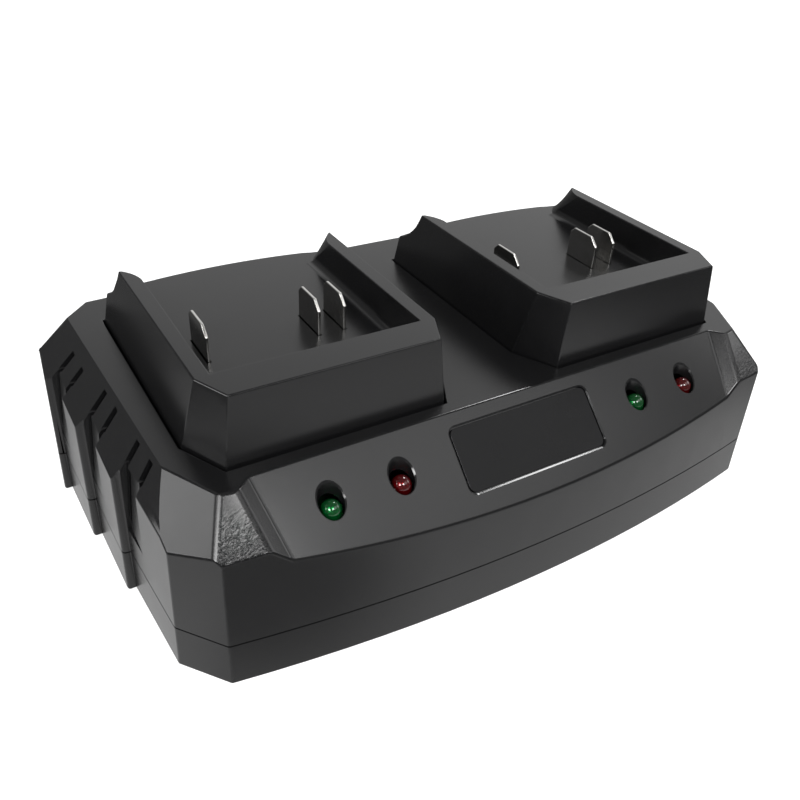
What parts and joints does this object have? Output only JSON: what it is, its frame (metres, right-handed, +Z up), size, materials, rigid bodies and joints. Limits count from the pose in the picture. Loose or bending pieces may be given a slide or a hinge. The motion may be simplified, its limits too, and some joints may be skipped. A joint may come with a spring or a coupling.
{
  "type": "dual battery charger",
  "caption": "Desktop charger with side-by-side open trays for slide-on battery packs, upright contact blades, a sloping lamp panel, vented sides and a rear mains inlet.",
  "frame": {"origin": "under the middle of the charger, on the surface it stands on", "axes": "+X to the right seen from the front, +Y to the rear where the packs slide on, +Z up"},
  "size_m": [0.2024, 0.1204, 0.066],
  "materials": {
    "casing_plastic": "satin with a fine grain",
    "dock_plastic": "satin with a fine grain",
    "badge_plastic": "gloss, bare of lettering",
    "foot_rubber": "matt",
    "carrier_plastic": "matt",
    "plated_contact": "bright nickel plate",
    "screw_steel": "zinc plate",
    "green_lens": "clear tinted resin",
    "red_lens": "clear tinted resin",
    "circuit_board": "solder mask",
    "fuse_glass": "clear",
    "clip_brass": "bright",
    "ferrite": "sintered, matt",
    "winding_copper": "enamelled copper wire",
    "film_case": "moulded box",
    "can_sleeve": "shrunk sleeve",
    "epoxy": "moulded",
    "sink_aluminium": "extruded",
    "lead_insulation": "extruded sleeve"
  },
  "bodies": {
    "root": {"upper_housing": "casing_plastic", "base_cover": "casing_plastic", "left_dock": "dock_plastic", "right_dock": "dock_plastic", "badge_plate": "badge_plastic", "rubber_feet": "foot_rubber", "left_terminal_block": "carrier_plastic", "right_terminal_block": "carrier_plastic", "mains_inlet": "carrier_plastic", "transformer_base": "carrier_plastic", "left_negative_blade": "plated_contact", "left_sense_blade": "plated_contact", "left_positive_blade": "plated_contact", "right_negative_blade": "plated_contact", "right_sense_blade": "plated_contact", "right_positive_blade": "plated_contact", "inlet_pins": "plated_contact", "casing_screws": "screw_steel", "board_screws": "screw_steel", "dock_screws": "screw_steel", "terminal_screws": "screw_steel", "lamp_board_screws": "screw_steel", "inlet_screws": "screw_steel", "left_green_led": "green_lens", "right_green_led": "green_lens", "left_red_led": "red_lens", "right_red_led": "red_lens", "main_board": "circuit_board", "left_lamp_board": "circuit_board", "right_lamp_board": "circuit_board", "fuse": "fuse_glass", "fuse_clips": "clip_brass", "mains_filter_core": "ferrite", "transformer_core": "ferrite", "output_chokes": "ferrite", "mains_filter_windings": "winding_copper", "transformer_winding": "winding_copper", "filter_capacitor": "film_case", "bulk_capacitor": "can_sleeve", "output_capacitors": "can_sleeve", "bridge_rectifier": "epoxy", "switching_transistor": "epoxy", "output_rectifier": "epoxy", "charge_controllers": "epoxy", "primary_heat_sink": "sink_aluminium", "secondary_heat_sink": "sink_aluminium", "left_dock_leads": "lead_insulation", "right_dock_leads": "lead_insulation", "left_lamp_leads": "lead_insulation", "right_lamp_leads": "lead_insulation", "mains_leads": "lead_insulation"}
  },
  "joints": []
}
